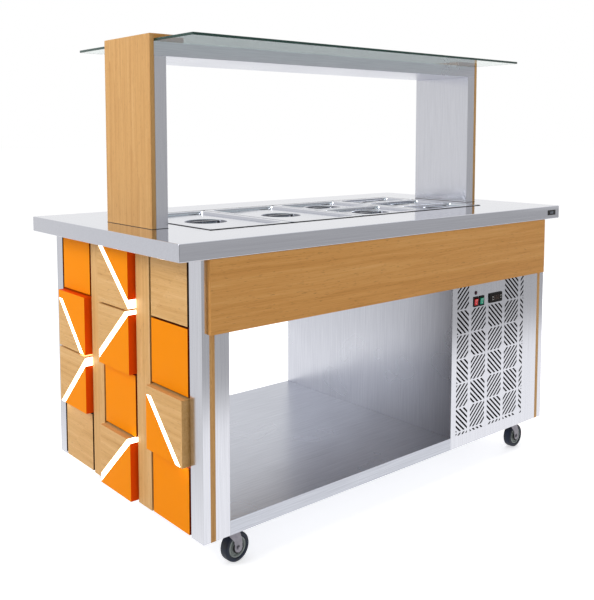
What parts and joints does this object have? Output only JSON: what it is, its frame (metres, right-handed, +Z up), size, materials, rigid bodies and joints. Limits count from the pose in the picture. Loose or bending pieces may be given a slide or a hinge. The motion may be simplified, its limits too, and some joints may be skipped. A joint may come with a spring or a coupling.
{
  "type": "heated salad bar counter",
  "caption": "Mobile heated buffet counter with lidded pans in a steel worktop, a glass guard on a gantry, oak and orange block ends, an open shelf bay, a grille panel and casters.",
  "frame": {"origin": "on the floor, under the middle of the worktop", "axes": "+X along the counter to the end with the grille, +Y to the back, +Z up"},
  "size_m": [1.8, 0.9528, 1.565],
  "materials": {
    "polished_steel": "stainless steel, polished",
    "satin_steel": "stainless steel, fine satin grain",
    "galvanised": "galvanised sheet steel",
    "foil_jacket": "foil-faced insulation",
    "element_sheath": "nickel alloy sheath, matt",
    "valve_brass": "bare brass",
    "lever_red": "red paint on steel",
    "oak": "oiled oak, fine straight grain",
    "panel_board": "dark red painted board",
    "orange_laminate": "orange laminate, satin",
    "light_diffuser": "white light diffuser",
    "clear_glass": "toughened clear glass",
    "black_plastic": "black plastic",
    "lamp_red": "red lens",
    "rocker_red": "red rocker",
    "rocker_green": "green rocker",
    "black_plate": "black anodised plate, blank",
    "fork_zinc": "grey paint on pressed steel",
    "tyre_rubber": "black rubber tyre on a grey plastic hub"
  },
  "bodies": {
    "counter": {"worktop": "polished_steel", "well_tank": "satin_steel", "tank_insulation": "foil_jacket", "gn_support_bars": "satin_steel", "heating_element": "element_sheath", "drain_valve": "valve_brass", "corner_posts": "satin_steel", "oak_inlays": "oak", "fascia_front": "oak", "fascia_back": "oak", "base_shelf": "satin_steel", "partition": "satin_steel", "grille_panel": "satin_steel", "back_panel": "satin_steel", "pilot_lamp": "lamp_red", "switch_frames": "black_plastic", "thermostat": "black_plastic", "control_box": "galvanised", "cable_gland": "black_plastic", "end_boards": "panel_board", "end_oak_strips": "oak", "flush_tiles_oak": "oak", "flush_tiles_orange": "orange_laminate", "raised_prisms_oak": "oak", "raised_prisms_orange": "orange_laminate", "light_bars": "light_diffuser", "oak_upright_left": "oak", "oak_upright_right": "oak", "steel_post_left": "satin_steel", "steel_post_right": "satin_steel", "oak_caps": "oak", "beam": "satin_steel", "glass_guard": "clear_glass", "badge_plate": "black_plate", "caster_plates": "fork_zinc"},
    "drain_lever": {"drain_lever": "lever_red"},
    "rocker_red": {"rocker_red": "rocker_red"},
    "rocker_green": {"rocker_green": "rocker_green"},
    "pan_full_left": {"pan_full_left": "satin_steel"},
    "lid_full_left": {"lid_full_left": "polished_steel"},
    "pan_full_right": {"pan_full_right": "satin_steel"},
    "lid_full_right": {"lid_full_right": "polished_steel"},
    "pan_half_front": {"pan_half_front": "satin_steel"},
    "lid_half_front": {"lid_half_front": "polished_steel"},
    "pan_half_back": {"pan_half_back": "satin_steel"},
    "lid_half_back": {"lid_half_back": "polished_steel"},
    "pan_third_front": {"pan_third_front": "satin_steel"},
    "lid_third_front": {"lid_third_front": "polished_steel"},
    "pan_third_middle": {"pan_third_middle": "satin_steel"},
    "lid_third_middle": {"lid_third_middle": "polished_steel"},
    "pan_third_back": {"pan_third_back": "satin_steel"},
    "lid_third_back": {"lid_third_back": "polished_steel"},
    "caster_fork_front_left": {"caster_fork_front_left": "fork_zinc"},
    "caster_wheel_front_left": {"caster_wheel_front_left": "tyre_rubber"},
    "caster_fork_front_right": {"caster_fork_front_right": "fork_zinc"},
    "caster_wheel_front_right": {"caster_wheel_front_right": "tyre_rubber"},
    "caster_fork_back_left": {"caster_fork_back_left": "fork_zinc"},
    "caster_wheel_back_left": {"caster_wheel_back_left": "tyre_rubber"},
    "caster_fork_back_right": {"caster_fork_back_right": "fork_zinc"},
    "caster_wheel_back_right": {"caster_wheel_back_right": "tyre_rubber"}
  },
  "joints": [
    {"name": "pan_full_left_lift", "type": "slide", "parent": "counter", "child": "pan_full_left", "axis": [0, 0, 1], "range_m": [0, 0.15]},
    {"name": "lid_full_left_lift", "type": "slide", "parent": "pan_full_left", "child": "lid_full_left", "axis": [0, 0, 1], "range_m": [0, 0.2]},
    {"name": "pan_full_right_lift", "type": "slide", "parent": "counter", "child": "pan_full_right", "axis": [0, 0, 1], "range_m": [0, 0.15]},
    {"name": "lid_full_right_lift", "type": "slide", "parent": "pan_full_right", "child": "lid_full_right", "axis": [0, 0, 1], "range_m": [0, 0.2]},
    {"name": "pan_half_front_lift", "type": "slide", "parent": "counter", "child": "pan_half_front", "axis": [0, 0, 1], "range_m": [0, 0.15]},
    {"name": "lid_half_front_lift", "type": "slide", "parent": "pan_half_front", "child": "lid_half_front", "axis": [0, 0, 1], "range_m": [0, 0.2]},
    {"name": "pan_half_back_lift", "type": "slide", "parent": "counter", "child": "pan_half_back", "axis": [0, 0, 1], "range_m": [0, 0.15]},
    {"name": "lid_half_back_lift", "type": "slide", "parent": "pan_half_back", "child": "lid_half_back", "axis": [0, 0, 1], "range_m": [0, 0.2]},
    {"name": "pan_third_front_lift", "type": "slide", "parent": "counter", "child": "pan_third_front", "axis": [0, 0, 1], "range_m": [0, 0.15]},
    {"name": "lid_third_front_lift", "type": "slide", "parent": "pan_third_front", "child": "lid_third_front", "axis": [0, 0, 1], "range_m": [0, 0.2]},
    {"name": "pan_third_middle_lift", "type": "slide", "parent": "counter", "child": "pan_third_middle", "axis": [0, 0, 1], "range_m": [0, 0.15]},
    {"name": "lid_third_middle_lift", "type": "slide", "parent": "pan_third_middle", "child": "lid_third_middle", "axis": [0, 0, 1], "range_m": [0, 0.2]},
    {"name": "pan_third_back_lift", "type": "slide", "parent": "counter", "child": "pan_third_back", "axis": [0, 0, 1], "range_m": [0, 0.15]},
    {"name": "lid_third_back_lift", "type": "slide", "parent": "pan_third_back", "child": "lid_third_back", "axis": [0, 0, 1], "range_m": [0, 0.2]},
    {"name": "rocker_red_tilt", "type": "hinge", "parent": "counter", "child": "rocker_red", "pos_m": [0.386, -0.456, 0.647], "axis": [1, 0, 0], "range_deg": [-16, 0]},
    {"name": "rocker_green_tilt", "type": "hinge", "parent": "counter", "child": "rocker_green", "pos_m": [0.42, -0.456, 0.647], "axis": [1, 0, 0], "range_deg": [-16, 0]},
    {"name": "drain_lever_turn", "type": "hinge", "parent": "counter", "child": "drain_lever", "pos_m": [0.56, 0.1435, 0.33], "axis": [0, 1, 0], "range_deg": [0, 90]},
    {"name": "caster_front_left_swivel", "type": "hinge", "parent": "counter", "child": "caster_fork_front_left", "pos_m": [-0.696, -0.401, 0.1], "axis": [0, 0, 1], "continuous": true},
    {"name": "caster_front_left_roll", "type": "hinge", "parent": "caster_fork_front_left", "child": "caster_wheel_front_left", "pos_m": [-0.67006, -0.39919, 0.045], "axis": [0.0698, -0.9976, 0], "continuous": true},
    {"name": "caster_front_right_swivel", "type": "hinge", "parent": "counter", "child": "caster_fork_front_right", "pos_m": [0.696, -0.401, 0.1], "axis": [0, 0, 1], "continuous": true},
    {"name": "caster_front_right_roll", "type": "hinge", "parent": "caster_fork_front_right", "child": "caster_wheel_front_right", "pos_m": [0.72196, -0.39964, 0.045], "axis": [0.0523, -0.9986, 0], "continuous": true},
    {"name": "caster_back_left_swivel", "type": "hinge", "parent": "counter", "child": "caster_fork_back_left", "pos_m": [-0.696, 0.401, 0.1], "axis": [0, 0, 1], "continuous": true},
    {"name": "caster_back_left_roll", "type": "hinge", "parent": "caster_fork_back_left", "child": "caster_wheel_back_left", "pos_m": [-0.67057, 0.39559, 0.045], "axis": [-0.2079, -0.9781, 0], "continuous": true},
    {"name": "caster_back_right_swivel", "type": "hinge", "parent": "counter", "child": "caster_fork_back_right", "pos_m": [0.696, 0.401, 0.1], "axis": [0, 0, 1], "continuous": true},
    {"name": "caster_back_right_roll", "type": "hinge", "parent": "caster_fork_back_right", "child": "caster_wheel_back_right", "pos_m": [0.72161, 0.40552, 0.045], "axis": [0.1736, -0.9848, 0], "continuous": true}
  ]
}
